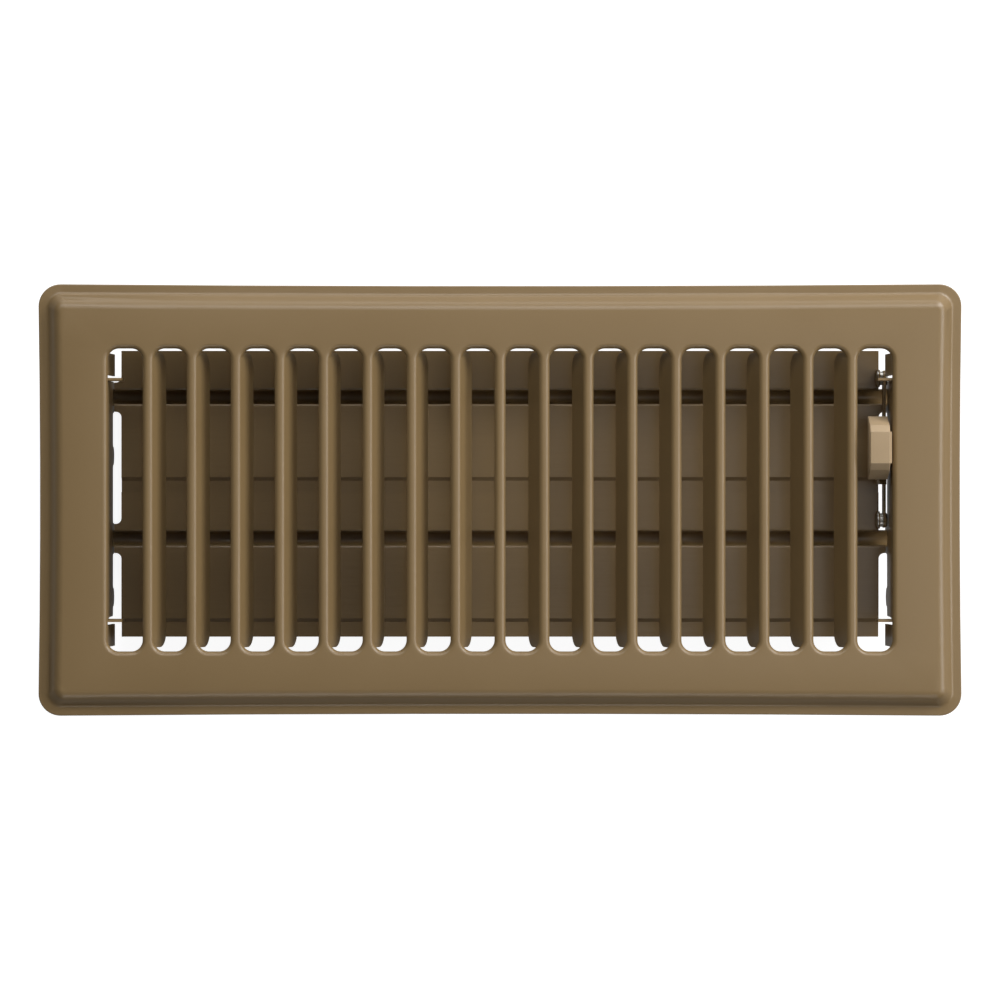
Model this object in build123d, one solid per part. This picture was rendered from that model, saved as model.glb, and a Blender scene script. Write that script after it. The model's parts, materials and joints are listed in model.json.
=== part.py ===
from build123d import *
from math import atan2, cos, radians, sin, tan
import os

# Floor register for a 4 x 10 inch duct opening, in millimetres.
# X runs along the length, Y across it, Z up. Z = 0 is the floor, under the lip of the face.
# The origin is the middle of the face.

# Sheet thicknesses
FACE_SHEET = 0.8
END_SHEET = 0.8
BLADE_SHEET = 0.5
LINK_SHEET = 0.8

# Duct opening in the floor, and how far the face covers it
OPENING_LENGTH = 254.0
OPENING_WIDTH = 101.6
OPENING_CLEARANCE = 0.8
END_COVER = 20.05
SIDE_COVER = 17.95

# Pressed face: a flat lip, a sloped step and a raised plate
FACE_CORNER_R = 7.0
EDGE_BOW = 0.65
LIP_WIDTH = 3.1
LIP_EDGE_R = 0.35
STEP_RUN = 3.0
FACE_HEIGHT = 5.0
STEP_CORNER_R = 4.5
PLATE_CORNER_R = 3.2
FOOT_R = 1.6
SHOULDER_R = 4.0

# Slots, and the rolled bars between them
BAR_COUNT = 17
BAR_WIDTH = 3.5
BAR_FLAT = 0.3
RIM_LAND = 0.3
END_SLOT_WIDTH = 11.1
SLOT_MARGIN = 2.7
SLOT_CORNER_R = 3.6

# Louvres bent down from the bars, leaning towards the middle
LOUVRE_LEAN = 19.0
LOUVRE_DEPTH = 10.0
LOUVRE_END_GAP = 1.2
LOUVRE_CORNER_R = 4.5

# Flanges and crimped corner tabs turned down at the outer edge of the end slots
FLANGE_DEPTH = 2.0
FLANGE_MARGIN = 13.2
TAB_MARGIN = 4.0
TAB_WIDTH = 7.0
TAB_KNEE_DEPTH = 0.6
TAB_DEPTH = 11.5
TAB_LEAN = 0.8
BEND_R = 0.4

# End plates
END_MARGIN = 12.0
END_TOP_GAP = 1.2
END_DEPTH = 21.0
EAR_REACH = 5.2
EAR_DEPTH = 6.0
PIVOT_BOSS_R = 5.0
END_ROOT_R = 1.2
LOBE_OFFSET = 19.0
LOBE_R = 3.0
LOBE_DROP = 1.0

# Damper blades
AXIS_DEPTH = 23.0
DAMPER_TOP_GAP = 2.5
DAMPER_BOTTOM_GAP = 6.5
SHORT_SIDE = 15.0
BLADE_OVERLAP = 1.1
LAP_WIDTH = 6.0
LAP_DROP = 1.0
LAP_RUN = 1.2
BLADE_END_GAP = 2.8
GROOVE_R = 2.7
GROOVE_WALL = 2.4
GROOVE_LIP_R = 0.8
GROOVE_UNDER_R = 0.3
TONGUE_HALF_WIDTH = 4.75
TONGUE_GAP = 0.5
TONGUE_ROOT_R = 1.8
TRUNNION_PROUD = 0.4
PIVOT_PLAY = 0.08

# Cranks, link and rivets
CRANK_OUT = 6.0
CRANK_UP = 6.0
CRANK_EAR_R = 2.8
CRANK_TOP_R = 2.75
CRANK_BEND_R = 0.5
CRANK_GAP = 1.0
RIVET_R = 1.5
RIVET_HEAD_R = 2.5
RIVET_HEAD = 0.6
RIVET_HEAD_TOP_R = 1.75
RIVET_HEAD_EDGE = 0.27
RIVET_FORMED_TOP_R = 2.0
RIVET_SHOULDER_R = 2.2
RIVET_PLAY = 0.05
LINK_WIDTH = 5.0

# Lever and knob
LEVER_SHIFT = 0.2
LEVER_SET_IN = 3.3
LEVER_NEAR_END = 11.6
LEVER_FAR_END = 3.9
LEVER_BEND_Z = -12.0
LEVER_BEND_R = 0.8
PRONG_HALF_WIDTH = 3.9
PRONG_SHOULDER_Z = -2.5
KNOB_HALF_LENGTH = 10.05
KNOB_SHOULDER_HALF = 7.15
KNOB_TOP_HALF = 5.0
KNOB_WIDTH = 6.4
KNOB_PAD = 0.6
KNOB_BASE_Z = -1.0
KNOB_SHOULDER_Z = 5.6
KNOB_TOP_Z = 7.5
KNOB_WALL = 1.2
KNOB_EDGE_R = 0.35
KNOB_OFFSET = 0.1
SOCKET_WALL = 1.1
SOCKET_PLAY = 0.04

# Aids to the modelling: two places this close are the same place, a cutting block runs this far past
# what it cuts, and a bent strip overlaps the sheet it grows from by this much
SAME_PLACE = 0.01
CUT_MARGIN = 1.0
STRIP_OVERLAP = 1.0
SEAT_MARGIN = 0.1
FLARE_MARGIN = 0.05

# Worked out from the sizes above
OPENING_HALF_WIDTH = OPENING_WIDTH / 2
FACE_LENGTH = OPENING_LENGTH + 2 * END_COVER
FACE_WIDTH = OPENING_WIDTH + 2 * SIDE_COVER
STEP_RISE = FACE_HEIGHT - FACE_SHEET
STEP_SLOPE = atan2(STEP_RISE, STEP_RUN)
ROLL_R = (BAR_WIDTH - BAR_FLAT) / 2
ROLL_INNER_R = ROLL_R - FACE_SHEET
ROLL_FOOT = FACE_HEIGHT - ROLL_R
RIM_FOOT = ROLL_FOOT - RIM_LAND
END_OUTER_X = OPENING_LENGTH / 2 - OPENING_CLEARANCE
END_INNER_X = END_OUTER_X - END_SHEET
SLOT_END_X = END_INNER_X - FACE_SHEET
SLOT_LENGTH = OPENING_WIDTH - 2 * SLOT_MARGIN
BAR_PITCH = (2 * (SLOT_END_X - END_SLOT_WIDTH) - BAR_WIDTH) / (BAR_COUNT - 1)
END_TOP = FACE_HEIGHT - FACE_SHEET - END_TOP_GAP
FLANGE_HALF_WIDTH = OPENING_HALF_WIDTH - FLANGE_MARGIN
TAB_FAR = OPENING_HALF_WIDTH - TAB_MARGIN
END_HALF_WIDTH = OPENING_HALF_WIDTH - END_MARGIN
BLADE_WIDTH = (OPENING_WIDTH - DAMPER_TOP_GAP - DAMPER_BOTTOM_GAP + BLADE_OVERLAP) / 2
LONG_SIDE = BLADE_WIDTH - SHORT_SIDE
UPPER_AXIS_Y = OPENING_HALF_WIDTH - DAMPER_TOP_GAP - SHORT_SIDE
LOWER_AXIS_Y = UPPER_AXIS_Y - BLADE_WIDTH + BLADE_OVERLAP
BLADE_END_X = END_INNER_X - BLADE_END_GAP
TRUNNION_END_X = END_OUTER_X + TRUNNION_PROUD
LINK_INNER_X = BLADE_END_X + CRANK_GAP
LINK_OUTER_X = LINK_INNER_X + LINK_SHEET
LINK_Z = CRANK_UP - AXIS_DEPTH
LEVER_INNER_X = LINK_INNER_X - LEVER_SET_IN
LEVER_Y = (UPPER_AXIS_Y + LOWER_AXIS_Y) / 2 + CRANK_OUT + LEVER_SHIFT
BLADE_TOP = GROOVE_WALL + BLADE_SHEET
PRONG_TOP_Z = KNOB_TOP_Z - KNOB_WALL - SOCKET_PLAY
KNOB_CENTRE_X = LEVER_INNER_X + KNOB_OFFSET


def bent_strip(points, thickness, inside_r, side):
    """Section of a bent sheet: its inner line through the points, thickened on one side."""
    line = FilletPolyline(*points, radius=inside_r)
    return make_face(offset(line, thickness, side=side).edges())


def face_outline(inset, corner_r):
    """Rectangle whose four edges bow in a little between rounded corners."""
    half_x = FACE_LENGTH / 2 - inset
    half_y = FACE_WIDTH / 2 - inset
    corners = [(-half_x, -half_y), (half_x, -half_y), (half_x, half_y), (-half_x, half_y)]
    middles = [
        (0, EDGE_BOW - half_y),
        (half_x - EDGE_BOW, 0),
        (0, half_y - EDGE_BOW),
        (EDGE_BOW - half_x, 0),
    ]
    sides = [ThreePointArc(corners[i], middles[i], corners[(i + 1) % 4]) for i in range(4)]
    outline = make_face(sides)
    return fillet(outline.vertices(), corner_r)


def step_form(lip_top, extra_inset, edge_r, foot_r, shoulder_r):
    """Lip slab with the raised plate standing on it, its edge, foot and shoulder rounded."""
    slab_bottom = lip_top - FACE_SHEET
    plate_top = lip_top + STEP_RISE
    run_in_slab = FACE_SHEET / tan(STEP_SLOPE)
    foot_inset = LIP_WIDTH - run_in_slab + extra_inset
    top_inset = LIP_WIDTH + STEP_RUN + extra_inset
    slab = Pos(0, 0, slab_bottom) * extrude(face_outline(0, FACE_CORNER_R), FACE_SHEET)
    if edge_r > 0:
        slab = fillet(slab.edges().group_by(Axis.Z)[-1], edge_r)
    plate = loft(
        [
            Pos(0, 0, slab_bottom) * face_outline(foot_inset, STEP_CORNER_R),
            Pos(0, 0, plate_top) * face_outline(top_inset, PLATE_CORNER_R),
        ],
        ruled=True,
    )
    form = slab + plate
    foot = new_edges(slab, plate, combined=form)
    foot = foot.filter_by_position(Axis.Z, lip_top - SAME_PLACE, lip_top + SAME_PLACE)
    form = fillet(foot, foot_r)
    shoulder = form.edges().filter_by_position(Axis.Z, plate_top - SAME_PLACE, plate_top + SAME_PLACE)
    return fillet(shoulder, shoulder_r)


def pressed_face():
    """Lip, step and plate of one sheet thickness, with no slots yet."""
    outer = step_form(FACE_SHEET, 0, LIP_EDGE_R, FOOT_R, SHOULDER_R)
    extra_inset = FACE_SHEET * tan(STEP_SLOPE / 2)
    inner = step_form(0, extra_inset, 0, FOOT_R + FACE_SHEET, SHOULDER_R - FACE_SHEET)
    return outer - inner


def slot_spans():
    """Left and right edge of every slot, the two end slots last."""
    first_bar = -BAR_PITCH * (BAR_COUNT - 1) / 2
    half_bar = BAR_WIDTH / 2
    spans = []
    for i in range(BAR_COUNT - 1):
        left_bar = first_bar + BAR_PITCH * i
        spans.append((left_bar + half_bar, left_bar + BAR_PITCH - half_bar))
    spans.append((-SLOT_END_X, first_bar - half_bar))
    spans.append((-first_bar + half_bar, SLOT_END_X))
    return spans


def slot_block(width, grow, bottom, top):
    """Upright block over a slot, grown outwards on all sides."""
    outline = RectangleRounded(width + 2 * grow, SLOT_LENGTH + 2 * grow, SLOT_CORNER_R + grow)
    return Pos(0, 0, bottom) * extrude(outline, top - bottom)


def flared_block(width, grow, bottom, flare_z, flare_r):
    """Slot block that spreads with a round flare into a thin slab at its top."""
    slab_grow = grow + flare_r + FLARE_MARGIN
    block = slot_block(width, grow, bottom, flare_z + FACE_SHEET / 4)
    slab = slot_block(width, slab_grow, flare_z, flare_z + FACE_SHEET / 2)
    flared = block + slab
    throat = new_edges(block, slab, combined=flared)
    throat = throat.filter_by_position(Axis.Z, flare_z - SAME_PLACE, flare_z + SAME_PLACE)
    return fillet(throat, flare_r)


def rolled_rims(spans):
    """Rims that turn down round every slot, rounded into the underside of the plate."""
    under = FACE_HEIGHT - FACE_SHEET
    rims = []
    for left, right in spans:
        rim = flared_block(right - left, FACE_SHEET, RIM_FOOT, under, ROLL_INNER_R)
        rims.append(Pos((left + right) / 2, 0, 0) * rim)
    return rims


def slot_cuts(spans):
    """Slots with a rolled mouth, to be cut through the plate and its rims."""
    cuts = []
    for left, right in spans:
        cut = flared_block(right - left, 0, RIM_FOOT - CUT_MARGIN, FACE_HEIGHT, ROLL_R)
        cuts.append(Pos((left + right) / 2, 0, 0) * cut)
    return cuts


def louvre_bars():
    """Middle of each bar that carries a louvre, with the side that its louvre is on."""
    middle = (BAR_COUNT - 1) / 2
    bars = []
    for i in range(BAR_COUNT):
        if i != middle:
            towards_centre = 1 if i < middle else -1
            bars.append((BAR_PITCH * (i - middle), towards_centre))
    return bars


def louvre_seat():
    """Rolled edge that a louvre takes the place of, on the right side of a bar at X = 0."""
    straight = SLOT_LENGTH - 2 * SLOT_CORNER_R
    width = ROLL_R + BAR_FLAT
    height = ROLL_R + RIM_LAND + 2 * SEAT_MARGIN
    middle_z = RIM_FOOT + height / 2 - SEAT_MARGIN
    return Pos(BAR_FLAT / 2 + width / 2, 0, middle_z) * Box(width, straight, height)


def louvre():
    """Rolled edge and leaning flap, on the right side of a bar at X = 0."""
    lean = radians(LOUVRE_LEAN)
    centre = Vector(BAR_FLAT / 2, ROLL_FOOT)
    outward = Vector(cos(lean), sin(lean))
    down = Vector(sin(lean), -cos(lean))
    up = Vector(0, 1)
    halfway = Vector(cos(lean / 2 + radians(45)), sin(lean / 2 + radians(45)))
    outer_bend = centre + outward * ROLL_R
    inner_bend = centre + outward * ROLL_INNER_R
    roll = make_face(
        [
            ThreePointArc(centre + up * ROLL_R, centre + halfway * ROLL_R, outer_bend),
            Line(outer_bend, inner_bend),
            ThreePointArc(inner_bend, centre + halfway * ROLL_INNER_R, centre + up * ROLL_INNER_R),
            Line(centre + up * ROLL_INNER_R, centre + up * ROLL_R),
        ]
    )
    flap = make_face(
        Polyline(
            outer_bend,
            outer_bend + down * LOUVRE_DEPTH,
            inner_bend + down * LOUVRE_DEPTH,
            inner_bend,
            close=True,
        )
    )
    straight_half = SLOT_LENGTH / 2 - SLOT_CORNER_R
    flap_half = SLOT_LENGTH / 2 - LOUVRE_END_GAP
    flap_solid = extrude(Plane.XZ * flap, flap_half, both=True)
    corners = flap_solid.edges().filter_by(lambda e: abs(e.length - FACE_SHEET) < SAME_PLACE)
    flap_solid = fillet(corners.sort_by(Axis.Z)[:2], LOUVRE_CORNER_R)
    return flap_solid + extrude(Plane.XZ * roll, straight_half, both=True)


def end_flange():
    """Flange below the outer edge of the right end slot, with a leaning tab past each end."""
    middle_x = SLOT_END_X + FACE_SHEET / 2
    height = RIM_FOOT + FLANGE_DEPTH
    flange = Pos(middle_x, 0, RIM_FOOT - height / 2) * Box(FACE_SHEET, 2 * FLANGE_HALF_WIDTH, height)
    knee_line = [
        (SLOT_END_X, RIM_FOOT),
        (SLOT_END_X, -TAB_KNEE_DEPTH),
        (SLOT_END_X - TAB_LEAN, -TAB_DEPTH),
    ]
    knee = bent_strip(knee_line, FACE_SHEET, BEND_R, Side.LEFT)
    tab = Pos(0, TAB_FAR, 0) * extrude(Plane.XZ * knee, TAB_WIDTH)
    return [flange, tab, mirror(tab, Plane.XZ)]


def faceplate():
    """The whole face, pressed from one sheet."""
    spans = slot_spans()
    face = pressed_face() + rolled_rims(spans)
    bars = louvre_bars()
    seat = louvre_seat()
    seats = [Pos(x, 0, 0) * (seat if side > 0 else mirror(seat, Plane.YZ)) for x, side in bars]
    face -= slot_cuts(spans) + seats
    blade = louvre()
    louvres = [Pos(x, 0, 0) * (blade if side > 0 else mirror(blade, Plane.YZ)) for x, side in bars]
    right_end = end_flange()
    left_end = [mirror(piece, Plane.YZ) for piece in right_end]
    return face + louvres + right_end + left_end


def end_plate(side):
    """Spot-welded plate that carries the blades, at the end given by side."""
    middle_z = (END_TOP - END_DEPTH) / 2
    plate_half = END_HALF_WIDTH - END_SHEET - BEND_R
    outline = Pos(0, middle_z) * Rectangle(2 * plate_half, END_TOP + END_DEPTH)
    for axis_y in (UPPER_AXIS_Y, LOWER_AXIS_Y):
        neck = Pos(axis_y, -AXIS_DEPTH / 2) * Rectangle(2 * PIVOT_BOSS_R, AXIS_DEPTH)
        boss = Pos(axis_y, -AXIS_DEPTH) * Circle(PIVOT_BOSS_R)
        lobe = Pos(axis_y - LOBE_OFFSET, -END_DEPTH - LOBE_DROP) * Circle(LOBE_R)
        outline += [neck, boss, lobe]
    roots = outline.vertices().filter_by(lambda v: abs(v.Y + END_DEPTH) < SAME_PLACE)
    outline = fillet(roots, END_ROOT_R)
    for axis_y in (UPPER_AXIS_Y, LOWER_AXIS_Y):
        outline -= Pos(axis_y, -AXIS_DEPTH) * Circle(GROOVE_R + PIVOT_PLAY)
    plate = Pos(END_INNER_X, 0, 0) * extrude(Plane.YZ * outline, END_SHEET)
    ear_line = [
        (END_INNER_X, plate_half - STRIP_OVERLAP),
        (END_INNER_X, END_HALF_WIDTH - END_SHEET),
        (END_INNER_X - EAR_REACH, END_HALF_WIDTH - END_SHEET),
    ]
    ear = bent_strip(ear_line, END_SHEET, BEND_R, Side.RIGHT)
    ear = Pos(0, 0, END_TOP) * extrude(ear, -(END_TOP + EAR_DEPTH))
    plate += [ear, mirror(ear, Plane.XZ)]
    return plate if side > 0 else mirror(plate, Plane.YZ)


def trunnion_section():
    """Half-round bottom of a blade's channel, centred on its axis."""
    ring = Circle(GROOVE_R) - Circle(GROOVE_R - BLADE_SHEET)
    return ring & (Pos(0, -GROOVE_R) * Rectangle(4 * GROOVE_R, 2 * GROOVE_R))


def groove_wall(inner_y):
    """Upright wall of a blade's channel, from the axis up through the flat."""
    return Pos(inner_y, BLADE_TOP / 2) * Rectangle(BLADE_SHEET, BLADE_TOP)


def flat_section(from_y, to_y):
    """Flat of a blade between two distances from the axis."""
    return Pos((from_y + to_y) / 2, GROOVE_WALL + BLADE_SHEET / 2) * Rectangle(to_y - from_y, BLADE_SHEET)


def blade_section():
    """Section of a blade: short flat, channel, long flat and the dropped lap along its edge."""
    groove_edge = GROOVE_R - BLADE_SHEET
    wall_middle = GROOVE_R - BLADE_SHEET / 2
    lap_start = LAP_WIDTH - LONG_SIDE
    lap_end = lap_start - LAP_RUN
    lap = Polyline(
        (lap_start, BLADE_TOP),
        (lap_end, BLADE_TOP - LAP_DROP),
        (-LONG_SIDE, BLADE_TOP - LAP_DROP),
        (-LONG_SIDE, GROOVE_WALL - LAP_DROP),
        (lap_end, GROOVE_WALL - LAP_DROP),
        (lap_start, GROOVE_WALL),
        close=True,
    )
    flats = flat_section(GROOVE_R, SHORT_SIDE) + flat_section(lap_start, -GROOVE_R)
    walls = groove_wall(wall_middle) + groove_wall(-wall_middle)
    section = flats + walls + trunnion_section() + make_face(lap)
    lips = section.vertices().filter_by(
        lambda v: abs(abs(v.X) - groove_edge) < SAME_PLACE and abs(v.Y - BLADE_TOP) < SAME_PLACE
    )
    section = fillet(lips, GROOVE_LIP_R)
    roots = section.vertices().filter_by(
        lambda v: abs(abs(v.X) - GROOVE_R) < SAME_PLACE and abs(v.Y - GROOVE_WALL) < SAME_PLACE
    )
    return fillet(roots, GROOVE_UNDER_R)


def tongue_section(from_y, to_y):
    """Part of a blade's section, about its channel, that goes on past the end of the blade."""
    window = Pos((from_y + to_y) / 2, 0) * Rectangle(to_y - from_y, 4 * (GROOVE_R + GROOVE_WALL))
    return blade_section() & window


def crank_ear():
    """Ear bent up from the right end of a blade, round the crank pin."""
    root_x = BLADE_END_X - BLADE_SHEET - CRANK_BEND_R - STRIP_OVERLAP
    line = [
        (root_x, BLADE_TOP),
        (BLADE_END_X - BLADE_SHEET, BLADE_TOP),
        (BLADE_END_X - BLADE_SHEET, CRANK_UP + CRANK_EAR_R),
    ]
    strip = bent_strip(line, BLADE_SHEET, CRANK_BEND_R, Side.RIGHT)
    ear = Pos(0, CRANK_OUT + CRANK_EAR_R, 0) * extrude(Plane.XZ * strip, 2 * CRANK_EAR_R)
    corners = ear.edges().filter_by(Axis.X).sort_by(Axis.Z)[-2:]
    ear = fillet(corners, CRANK_TOP_R)
    hole = Pos(BLADE_END_X, CRANK_OUT, CRANK_UP) * Rot(0, 90, 0) * Cylinder(RIVET_R, 2 * CUT_MARGIN)
    notch_x = BLADE_END_X + CUT_MARGIN - root_x
    notch = Pos(root_x + notch_x / 2, CRANK_OUT, BLADE_TOP)
    notch *= Box(notch_x, 2 * CRANK_EAR_R, 2 * CUT_MARGIN)
    return ear - hole, notch


def damper_blade(axis_y):
    """Folded blade with a half-round channel whose ends turn in the end plates."""
    blade = extrude(Plane.YZ * blade_section(), BLADE_END_X, both=True)
    ear, notch = crank_ear()
    tongue_end = END_INNER_X - TONGUE_GAP
    left_tongue = extrude(Plane.YZ * tongue_section(-TONGUE_HALF_WIDTH, TONGUE_HALF_WIDTH), -tongue_end)
    right_tongue = extrude(Plane.YZ * tongue_section(-TONGUE_HALF_WIDTH, 0), tongue_end)
    trunnions = extrude(Plane.YZ * trunnion_section(), TRUNNION_END_X, both=True)
    blade += [left_tongue, right_tongue]
    roots = blade.edges().filter_by(Axis.Z).filter_by(
        lambda e: abs(abs(e.center().X) - BLADE_END_X) < SAME_PLACE
        and abs(abs(e.center().Y) - TONGUE_HALF_WIDTH) < SAME_PLACE
    )
    blade = fillet(roots, TONGUE_ROOT_R)
    blade = blade - notch + trunnions + ear
    return Pos(0, axis_y, -AXIS_DEPTH) * blade


def link_rivet(axis_y):
    """Shouldered rivet through the crank ear and the link, its outer head formed over."""
    ear_inner = BLADE_END_X - BLADE_SHEET
    shoulder_end = LINK_INNER_X - RIVET_PLAY
    head_start = LINK_OUTER_X + RIVET_PLAY
    profile = Polyline(
        (0, ear_inner - RIVET_HEAD),
        (RIVET_HEAD_TOP_R, ear_inner - RIVET_HEAD),
        (RIVET_HEAD_R, ear_inner - RIVET_HEAD_EDGE),
        (RIVET_HEAD_R, ear_inner),
        (RIVET_R, ear_inner),
        (RIVET_R, BLADE_END_X),
        (RIVET_SHOULDER_R, BLADE_END_X),
        (RIVET_SHOULDER_R, shoulder_end),
        (RIVET_R, shoulder_end),
        (RIVET_R, head_start),
        (RIVET_HEAD_R, head_start),
        (RIVET_FORMED_TOP_R, head_start + RIVET_HEAD),
        (0, head_start + RIVET_HEAD),
        close=True,
    )
    rivet = revolve(Plane.XZ * make_face(profile), Axis.Z)
    pin_y = axis_y + CRANK_OUT
    return Pos(0, pin_y, LINK_Z) * Rot(0, 90, 0) * rivet


def link_bar():
    """Flat bar between the two crank pins, with the lever that carries the knob."""
    pins = [UPPER_AXIS_Y + CRANK_OUT, LOWER_AXIS_Y + CRANK_OUT]
    bar = Pos(sum(pins) / 2, LINK_Z) * Rectangle(pins[0] - pins[1], LINK_WIDTH)
    for pin_y in pins:
        bar += Pos(pin_y, LINK_Z) * Circle(LINK_WIDTH / 2)
    for pin_y in pins:
        bar -= Pos(pin_y, LINK_Z) * Circle(RIVET_R + PIVOT_PLAY)
    bar = Pos(LINK_INNER_X, 0, 0) * extrude(Plane.YZ * bar, LINK_SHEET)
    lever_line = [
        (LINK_INNER_X, LINK_Z),
        (LINK_INNER_X, LEVER_BEND_Z),
        (LEVER_INNER_X, LEVER_BEND_Z + LEVER_SET_IN),
        (LEVER_INNER_X, PRONG_TOP_Z),
    ]
    strip = bent_strip(lever_line, LINK_SHEET, LEVER_BEND_R, Side.RIGHT)
    width = LEVER_NEAR_END + LEVER_FAR_END
    lever = Pos(0, LEVER_Y + LEVER_FAR_END, 0) * extrude(Plane.XZ * strip, width)
    trim_height = PRONG_TOP_Z - PRONG_SHOULDER_Z
    trim_y = LEVER_Y - PRONG_HALF_WIDTH - width / 2
    trim = Pos(LEVER_INNER_X, trim_y, PRONG_SHOULDER_Z + (trim_height + CUT_MARGIN) / 2)
    lever -= trim * Box(4 * LINK_SHEET, width, trim_height + CUT_MARGIN)
    return bar + lever


def knob_block(inset, width):
    """Long hump with sloped ends, drawn in by an inset for its inside."""
    top_z = KNOB_TOP_Z - inset
    half = [KNOB_HALF_LENGTH - inset, KNOB_SHOULDER_HALF - inset, KNOB_TOP_HALF - inset / 2]
    levels = [KNOB_BASE_Z, KNOB_SHOULDER_Z - inset / 2, top_z]
    right = list(zip(half, levels))
    left = [(-y, z) for y, z in reversed(right)]
    hump = make_face(Polyline(*(right + left), close=True))
    return extrude(Plane.YZ * hump, width / 2, both=True)


def lever_knob():
    """Moulded cap pushed over the prong of the lever."""
    cap = knob_block(0, KNOB_WIDTH)
    cap = fillet(cap.edges().filter_by(lambda e: e.center().Z > KNOB_BASE_Z + SAME_PLACE), KNOB_EDGE_R)
    pad_height = KNOB_TOP_Z - KNOB_BASE_Z - KNOB_PAD
    pad_width = KNOB_WIDTH / 2 + KNOB_PAD
    pad = Pos(pad_width / 2, 0, KNOB_BASE_Z + pad_height / 2)
    pad *= Box(pad_width, 2 * KNOB_TOP_HALF, pad_height)
    pad = chamfer(pad.edges().group_by(Axis.X)[-1].filter_by(Axis.Y).sort_by(Axis.Z)[-1], KNOB_PAD)
    cap += pad
    cap -= knob_block(KNOB_WALL, KNOB_WIDTH - 2 * KNOB_WALL)
    cap = Pos(KNOB_CENTRE_X, LEVER_Y, 0) * cap
    prong_x = LEVER_INNER_X + LINK_SHEET / 2
    socket_height = KNOB_TOP_Z - KNOB_WALL / 2 - KNOB_BASE_Z
    socket_x = LINK_SHEET + 2 * SOCKET_WALL
    socket_y = 2 * (PRONG_HALF_WIDTH + SOCKET_WALL)
    socket_z = KNOB_BASE_Z + socket_height / 2
    cap += Pos(prong_x, LEVER_Y, socket_z) * Box(socket_x, socket_y, socket_height)
    pocket_height = PRONG_TOP_Z + SOCKET_PLAY - KNOB_BASE_Z + CUT_MARGIN
    pocket_z = PRONG_TOP_Z + SOCKET_PLAY - pocket_height / 2
    pocket_x = LINK_SHEET + 2 * SOCKET_PLAY
    pocket_y = 2 * (PRONG_HALF_WIDTH + SOCKET_PLAY)
    return cap - Pos(prong_x, LEVER_Y, pocket_z) * Box(pocket_x, pocket_y, pocket_height)


os.makedirs("parts", exist_ok=True)
export_step(faceplate(), "parts/faceplate.step")
export_step(end_plate(-1), "parts/end_plate_left.step")
export_step(end_plate(1), "parts/end_plate_right.step")
export_step(damper_blade(UPPER_AXIS_Y), "parts/damper_upper.step")
export_step(damper_blade(LOWER_AXIS_Y), "parts/damper_lower.step")
export_step(link_rivet(UPPER_AXIS_Y), "parts/link_rivet_upper.step")
export_step(link_rivet(LOWER_AXIS_Y), "parts/link_rivet_lower.step")
export_step(link_bar(), "parts/link_bar.step")
export_step(lever_knob(), "parts/lever_knob.step")
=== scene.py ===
import json
from math import cos, radians, sin

import bpy
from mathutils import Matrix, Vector

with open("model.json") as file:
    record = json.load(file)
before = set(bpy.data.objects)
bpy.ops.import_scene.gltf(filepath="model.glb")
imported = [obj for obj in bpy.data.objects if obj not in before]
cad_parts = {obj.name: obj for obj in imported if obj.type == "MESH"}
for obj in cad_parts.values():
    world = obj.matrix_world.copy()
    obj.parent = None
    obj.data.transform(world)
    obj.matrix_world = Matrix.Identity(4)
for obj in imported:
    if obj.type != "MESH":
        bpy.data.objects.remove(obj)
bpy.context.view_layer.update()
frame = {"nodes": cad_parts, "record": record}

# Lengths are in metres, and Z = 0 is the plane under the lip. The camera looks straight down on the middle
# of the face. The floor is just under the lowest point of the register.
CAMERA_HEIGHT = 1.205
LENS_MM = 136.2
SENSOR_MM = 36.0
FLOOR_LEVEL = -0.0281
FLOOR_HALF_SIZE = 4.0

# Colours are linear red, green and blue.
WHITE = (1, 1, 1)
FACE_COLOUR = (0.205, 0.137, 0.062)
FACE_COLOUR_DEEP = (0.185, 0.122, 0.054)
BLADE_COLOUR = (0.212, 0.140, 0.062)
BLADE_COLOUR_DEEP = (0.184, 0.120, 0.052)
KNOB_COLOUR = (0.340, 0.245, 0.142)
KNOB_COLOUR_DEEP = (0.312, 0.222, 0.127)
RIVET_COLOUR = (0.62, 0.61, 0.58)
RIVET_COLOUR_DEEP = (0.50, 0.48, 0.44)
FLOOR_COLOUR = (0.35, 0.35, 0.35)

# Lights: name, azimuth clockwise from +Y and elevation in degrees, distance, width and height, and watts
LIGHTS = [
    ("low_key_light", 0, 8, 1.3, 1.6, 0.5, 6.6),
    ("high_key_light", 0, 50, 1.3, 1.6, 0.5, 11.0),
    ("corner_light", 45, 25, 1.3, 0.6, 0.6, 11.3),
    ("right_light", 90, 30, 1.2, 0.8, 0.5, 6.4),
    ("overhead_light", 90, 70, 1.5, 0.45, 0.45, 0.75),
    ("top_light", 90, 82, 1.5, 0.35, 0.35, 0.58),
    ("front_light", 180, 36, 1.4, 0.9, 0.4, 3.2),
]

# Strength of the white backdrop seen by the camera, and in reflections and through glass
FLOOR_GLOW = 0.90
FLOOR_GLOSS = 0.10
WORLD_GLOW = 1.0
WORLD_GLOSS = 0.10

# Noise is stretched evenly unless it says otherwise, and seldom leaves this range.
EVEN = (1, 1, 1)
NOISE_LOW = 0.1
NOISE_HIGH = 0.9

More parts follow.
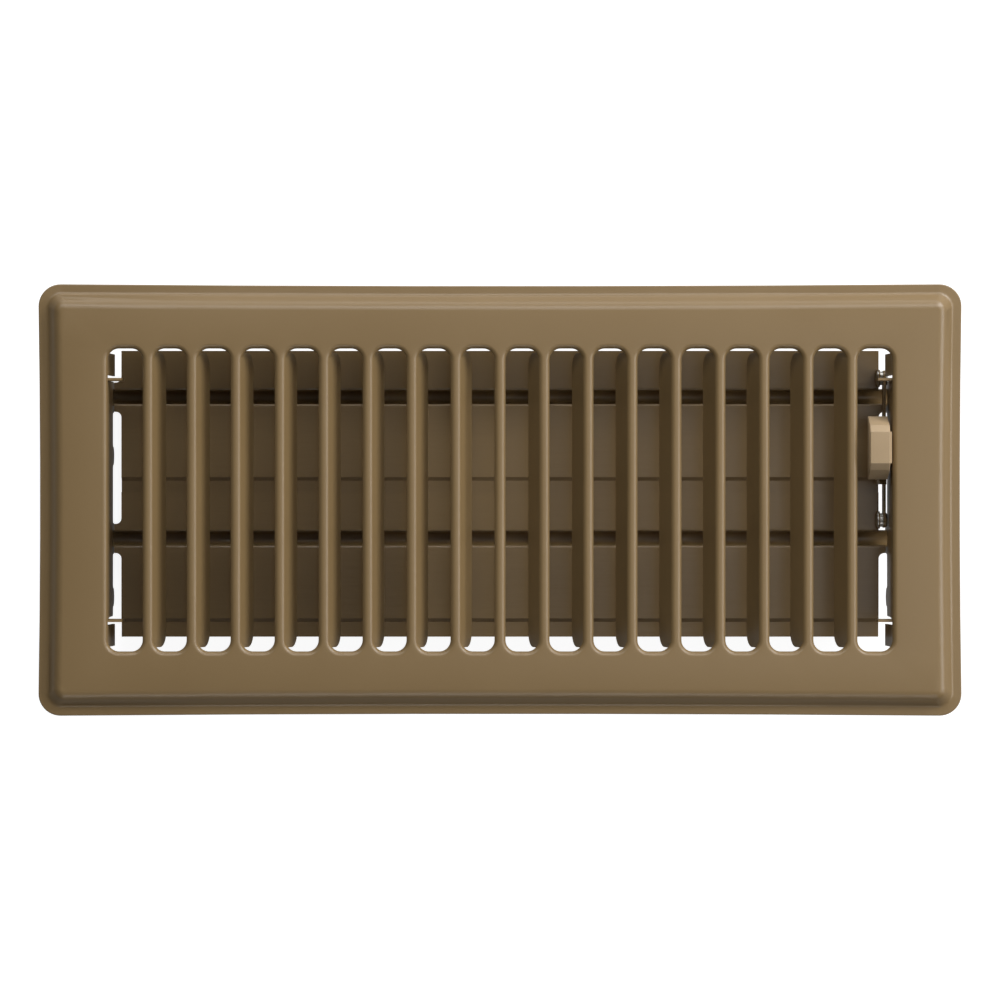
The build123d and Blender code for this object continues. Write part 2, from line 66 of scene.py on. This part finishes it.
# Enamel. Scales are features per metre, details are octaves, and depths are metres.
CLOUD_SCALE = 28
CLOUD_DETAIL = 2
GRAIN_SCALE = 1900
GRAIN_DETAIL = 2
GRAIN_SHARE = 0.4
MOTTLE_LOW = 0.2
MOTTLE_HIGH = 1.4
SPECKLE_SCALE = 700
SPECKLE_DETAIL = 1
SPECKLE_FROM = 0.66
SPECKLE_TO = 0.80
SPECKLE_SHADE = 0.20
PEEL_SCALE = 420
PEEL_DETAIL = 1
PEEL_DEPTH = 0.000008
RIPPLE_SCALE = 640
RIPPLE_DETAIL = 2
RIPPLE_STRETCH = (0.10, 1, 1)
FACE_ROUGHNESS = 0.36
FACE_RIPPLE = 0.000006
INNER_ROUGHNESS = 0.36
INNER_RIPPLE = 0.000015
BLADE_ROUGHNESS = 0.31
BLADE_RIPPLE = 0.00006
ROUGHNESS_SPREAD = 0.06

# Moulded plastic
PLASTIC_CLOUD_SCALE = 160
PLASTIC_CLOUD_DETAIL = 3
PLASTIC_GRAIN_SCALE = 2600
PLASTIC_GRAIN_DETAIL = 2
PLASTIC_GRAIN_DEPTH = 0.00002
PLASTIC_GRAIN_STRENGTH = 0.6
PLASTIC_SMOOTHEST = 0.38
PLASTIC_ROUGHEST = 0.52

# Plated steel
STEEL_PATCH_SCALE = 700
STEEL_PATCH_DETAIL = 3
STEEL_MARK_SCALE = 5000
STEEL_MARK_DETAIL = 1
STEEL_MARK_STRETCH = (1, 0.2, 0.2)
STEEL_MARK_DEPTH = 0.00002
STEEL_MARK_STRENGTH = 0.5
STEEL_SMOOTHEST = 0.22
STEEL_ROUGHEST = 0.46

# Sockets of a Mix node that mixes colours
MIX_FACTOR = 0
MIX_FIRST = 6
MIX_SECOND = 7
MIX_RESULT = 2

# Bends up to this many degrees are shaded smooth, and points this close are one point.
SMOOTH_ANGLE = 38.0
WELD_DISTANCE = 0.000002


def put(tree, socket, value):
    """Sets a socket to a value, or links another socket to it."""
    if isinstance(value, bpy.types.NodeSocket):
        tree.links.new(value, socket)
    else:
        socket.default_value = value


def add(tree, kind, **sockets):
    """A node, with each named socket set to a value or linked to another socket."""
    made = tree.nodes.new(kind)
    for name, value in sockets.items():
        put(tree, made.inputs[name.replace("_", " ")], value)
    return made


def noise(tree, place, scale, detail, stretch=EVEN):
    """Soft noise from 0 to 1, stretched by different scales along X, Y and Z."""
    mapped = add(tree, "ShaderNodeMapping", Vector=place, Scale=[s * scale for s in stretch])
    return add(tree, "ShaderNodeTexNoise", Vector=mapped.outputs[0], Scale=1.0, Detail=detail).outputs[0]


def remap(tree, value, low, high, new_low, new_high):
    """A value from one range moved to another."""
    ranges = {"From_Min": low, "From_Max": high, "To_Min": new_low, "To_Max": new_high}
    return add(tree, "ShaderNodeMapRange", Value=value, **ranges).outputs[0]


def arithmetic(tree, operation, first, second):
    """One arithmetic step between two sockets or numbers."""
    made = tree.nodes.new("ShaderNodeMath")
    made.operation = operation
    put(tree, made.inputs[0], first)
    put(tree, made.inputs[1], second)
    return made.outputs[0]


def between(tree, factor, first, second):
    """Colour between two colours."""
    made = tree.nodes.new("ShaderNodeMix")
    made.data_type = "RGBA"
    put(tree, made.inputs[MIX_FACTOR], factor)
    put(tree, made.inputs[MIX_FIRST], (*first, 1))
    put(tree, made.inputs[MIX_SECOND], (*second, 1))
    return made.outputs[MIX_RESULT]


def bumps(tree, height, depth, strength=1.0, normal=None):
    """Normal disturbed by a height of 0 to 1 over a depth in metres, on top of another normal if given."""
    made = add(tree, "ShaderNodeBump", Height=height, Distance=depth, Strength=strength)
    if normal is not None:
        tree.links.new(normal, made.inputs["Normal"])
    return made.outputs[0]


def new_material(name):
    """A material with its tree, its shader and the object's own coordinates."""
    material = bpy.data.materials.new(name)
    material.use_nodes = True
    tree = material.node_tree
    place = add(tree, "ShaderNodeTexCoord").outputs["Object"]
    return material, tree, tree.nodes["Principled BSDF"], place


def enamel(name, colour, deep, roughness, ripple):
    """Satin enamel on sheet steel, clouded and speckled, with orange peel and ripples along the sheet."""
    material, tree, shader, place = new_material(name)
    clouds = noise(tree, place, CLOUD_SCALE, CLOUD_DETAIL)
    grain = noise(tree, place, GRAIN_SCALE, GRAIN_DETAIL)
    mottle = arithmetic(tree, "ADD", clouds, arithmetic(tree, "MULTIPLY", grain, GRAIN_SHARE))
    spots = noise(tree, place, SPECKLE_SCALE, SPECKLE_DETAIL)
    speckle = remap(tree, spots, SPECKLE_FROM, SPECKLE_TO, 0, SPECKLE_SHADE)
    tone = arithmetic(tree, "SUBTRACT", remap(tree, mottle, MOTTLE_LOW, MOTTLE_HIGH, 0, 1), speckle)
    put(tree, shader.inputs["Base Color"], between(tree, tone, deep, colour))
    smoothest, roughest = roughness - ROUGHNESS_SPREAD, roughness + ROUGHNESS_SPREAD
    put(tree, shader.inputs["Roughness"], remap(tree, mottle, 0, MOTTLE_HIGH, smoothest, roughest))
    peel = bumps(tree, noise(tree, place, PEEL_SCALE, PEEL_DETAIL), PEEL_DEPTH)
    drawn = noise(tree, place, RIPPLE_SCALE, RIPPLE_DETAIL, RIPPLE_STRETCH)
    put(tree, shader.inputs["Normal"], bumps(tree, drawn, ripple, normal=peel))
    return material


def moulded_plastic(name, colour, deep):
    """Matte plastic with a fine spark-eroded grain."""
    material, tree, shader, place = new_material(name)
    clouds = noise(tree, place, PLASTIC_CLOUD_SCALE, PLASTIC_CLOUD_DETAIL)
    grain = noise(tree, place, PLASTIC_GRAIN_SCALE, PLASTIC_GRAIN_DETAIL)
    tone = remap(tree, clouds, NOISE_LOW, NOISE_HIGH, 0, 1)
    put(tree, shader.inputs["Base Color"], between(tree, tone, deep, colour))
    put(tree, shader.inputs["Roughness"], remap(tree, grain, 0, 1, PLASTIC_SMOOTHEST, PLASTIC_ROUGHEST))
    put(tree, shader.inputs["Normal"], bumps(tree, grain, PLASTIC_GRAIN_DEPTH, PLASTIC_GRAIN_STRENGTH))
    return material


def plated_steel(name, colour, deep):
    """Plated steel with fine turning marks and dull patches."""
    material, tree, shader, place = new_material(name)
    patches = noise(tree, place, STEEL_PATCH_SCALE, STEEL_PATCH_DETAIL)
    tone = remap(tree, patches, NOISE_LOW, NOISE_HIGH, 0, 1)
    put(tree, shader.inputs["Base Color"], between(tree, tone, deep, colour))
    wear = remap(tree, patches, NOISE_LOW, NOISE_HIGH, STEEL_SMOOTHEST, STEEL_ROUGHEST)
    put(tree, shader.inputs["Roughness"], wear)
    put(tree, shader.inputs["Metallic"], 1.0)
    marks = noise(tree, place, STEEL_MARK_SCALE, STEEL_MARK_DETAIL, STEEL_MARK_STRETCH)
    put(tree, shader.inputs["Normal"], bumps(tree, marks, STEEL_MARK_DEPTH, STEEL_MARK_STRENGTH))
    return material


def backdrop_strength(tree, camera_strength, other_strength):
    """Strength that the backdrop shows to the camera, and in reflections and through glass."""
    path = add(tree, "ShaderNodeLightPath").outputs
    indirect = arithmetic(tree, "MAXIMUM", path["Is Glossy Ray"], path["Is Transmission Ray"])
    seen = arithmetic(tree, "MULTIPLY", path["Is Camera Ray"], camera_strength)
    return arithmetic(tree, "ADD", seen, arithmetic(tree, "MULTIPLY", indirect, other_strength))


def floor_material():
    """Pale matte floor that shows white and keeps the object's shadow."""
    material = bpy.data.materials.new("floor_white")
    material.use_nodes = True
    tree = material.node_tree
    tree.nodes.remove(tree.nodes["Principled BSDF"])
    strength = backdrop_strength(tree, FLOOR_GLOW, FLOOR_GLOSS)
    glow = add(tree, "ShaderNodeEmission", Color=(*WHITE, 1), Strength=strength)
    matte = add(tree, "ShaderNodeBsdfDiffuse", Color=(*FLOOR_COLOUR, 1))
    both = tree.nodes.new("ShaderNodeAddShader")
    tree.links.new(glow.outputs[0], both.inputs[0])
    tree.links.new(matte.outputs[0], both.inputs[1])
    tree.links.new(both.outputs[0], tree.nodes["Material Output"].inputs["Surface"])
    return material


def white_world():
    """White backdrop that lights nothing but reflections."""
    world = bpy.data.worlds.new("backdrop")
    bpy.context.scene.world = world
    world.use_nodes = True
    tree = world.node_tree
    background = tree.nodes["Background"]
    put(tree, background.inputs["Color"], (*WHITE, 1))
    put(tree, background.inputs["Strength"], backdrop_strength(tree, WORLD_GLOW, WORLD_GLOSS))


def area_light(name, azimuth, elevation, distance, width, height, watts):
    """Softbox aimed at the object."""
    turn, rise = radians(azimuth), radians(elevation)
    direction = Vector((cos(rise) * sin(turn), cos(rise) * cos(turn), sin(rise)))
    light = bpy.data.lights.new(name, "AREA")
    light.shape = "RECTANGLE"
    light.size = width
    light.size_y = height
    light.energy = watts
    lamp = bpy.data.objects.new(name, light)
    lamp.location = direction * distance
    lamp.rotation_euler = (-direction).to_track_quat("-Z", "Y").to_euler()
    bpy.context.scene.collection.objects.link(lamp)


def camera():
    """Camera over the middle of the face, with its length across the picture."""
    data = bpy.data.cameras.new("camera")
    data.lens = LENS_MM
    data.sensor_width = SENSOR_MM
    shot = bpy.data.objects.new("camera", data)
    shot.location = (0, 0, CAMERA_HEIGHT)
    bpy.context.scene.collection.objects.link(shot)
    bpy.context.scene.camera = shot


def floor():
    """Floor that the object lies on."""
    far = FLOOR_HALF_SIZE
    mesh = bpy.data.meshes.new("floor")
    corners = [(-far, -far), (far, -far), (far, far), (-far, far)]
    mesh.from_pydata([(x, y, FLOOR_LEVEL) for x, y in corners], [], [(0, 1, 2, 3)])
    mesh.materials.append(floor_material())
    made = bpy.data.objects.new("floor", mesh)
    bpy.context.scene.collection.objects.link(made)


def smooth_sheet(piece):
    """Smooth shading over bends and rolls, with corners kept sharp."""
    piece.data.polygons.foreach_set("use_smooth", [True] * len(piece.data.polygons))
    weld = piece.modifiers.new("weld", "WELD")
    weld.merge_threshold = WELD_DISTANCE
    split = piece.modifiers.new("split", "EDGE_SPLIT")
    split.split_angle = radians(SMOOTH_ANGLE)


def dress(nodes):
    """Gives every node its material and smooth shading."""
    blade = BLADE_COLOUR, BLADE_COLOUR_DEEP
    finishes = {
        "painted_face": enamel("painted_face", FACE_COLOUR, FACE_COLOUR_DEEP, FACE_ROUGHNESS, FACE_RIPPLE),
        "painted_inner": enamel("painted_inner", *blade, INNER_ROUGHNESS, INNER_RIPPLE),
        "painted_blade": enamel("painted_blade", *blade, BLADE_ROUGHNESS, BLADE_RIPPLE),
        "rivet_steel": plated_steel("rivet_steel", RIVET_COLOUR, RIVET_COLOUR_DEEP),
        "knob_plastic": moulded_plastic("knob_plastic", KNOB_COLOUR, KNOB_COLOUR_DEEP),
    }
    for part in frame["record"]["subparts"]:
        piece = nodes[part["node"]]
        piece.data.materials.clear()
        piece.data.materials.append(finishes[part["material_slot"]])
        smooth_sheet(piece)


camera()
floor()
white_world()
for light in LIGHTS:
    area_light(*light)
dress(frame["nodes"])
bpy.context.scene.view_settings.view_transform = "Standard"
